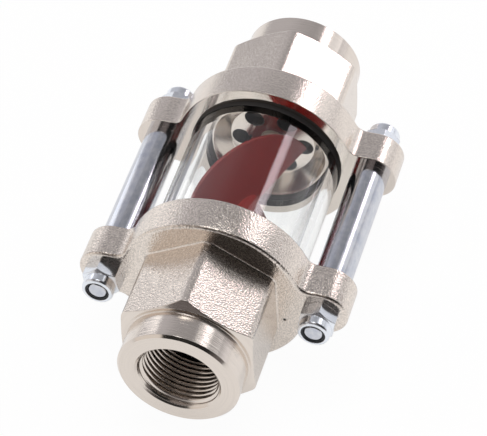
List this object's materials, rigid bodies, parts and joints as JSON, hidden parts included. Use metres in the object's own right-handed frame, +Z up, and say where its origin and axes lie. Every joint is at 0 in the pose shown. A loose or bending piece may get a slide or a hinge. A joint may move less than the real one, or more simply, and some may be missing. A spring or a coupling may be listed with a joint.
{
  "type": "impeller flow indicator",
  "caption": "Inline flow indicator: a sight glass tube clamped between cast hexagonal pipe ends by tie rods, with a bladed rotor inside that spins while liquid flows.",
  "frame": {"origin": "on the floor under the middle of the sight glass, where the flange rims rest", "axes": "+Y along the pipe axis from the front pipe end to the rear one, +X towards the right tie rod, +Z up"},
  "size_m": [0.0874, 0.143, 0.06],
  "materials": {
    "nickel_plated_brass": "bright nickel plate on cast and turned brass",
    "clear_glass": "clear, polished",
    "black_seal_rubber": "matt",
    "zinc_plated_steel": "bright blue zinc plate",
    "red_rotor_plastic": "moulded, satin",
    "stainless_pin": "ground",
    "bush_plastic": "turned",
    "dark_nylon": "matt"
  },
  "bodies": {
    "indicator_body": {"front_housing": "nickel_plated_brass", "rear_housing": "nickel_plated_brass", "sight_glass": "clear_glass", "front_glass_seal": "black_seal_rubber", "rear_glass_seal": "black_seal_rubber", "front_axle_bush": "bush_plastic", "rear_axle_bush": "bush_plastic", "left_tie_rod": "zinc_plated_steel", "right_tie_rod": "zinc_plated_steel", "left_spacer_tube": "zinc_plated_steel", "right_spacer_tube": "zinc_plated_steel", "front_left_lock_nut": "zinc_plated_steel", "front_right_lock_nut": "zinc_plated_steel", "rear_left_lock_nut": "zinc_plated_steel", "rear_right_lock_nut": "zinc_plated_steel", "front_left_nut_insert": "dark_nylon", "front_right_nut_insert": "dark_nylon", "rear_left_nut_insert": "dark_nylon", "rear_right_nut_insert": "dark_nylon"},
    "spinning_rotor": {"rotor": "red_rotor_plastic", "rotor_axle": "stainless_pin"}
  },
  "joints": [
    {"name": "rotor_spin", "type": "hinge", "parent": "indicator_body", "child": "spinning_rotor", "pos_m": [0, 0, 0.03], "axis": [0, 1, 0], "continuous": true}
  ]
}
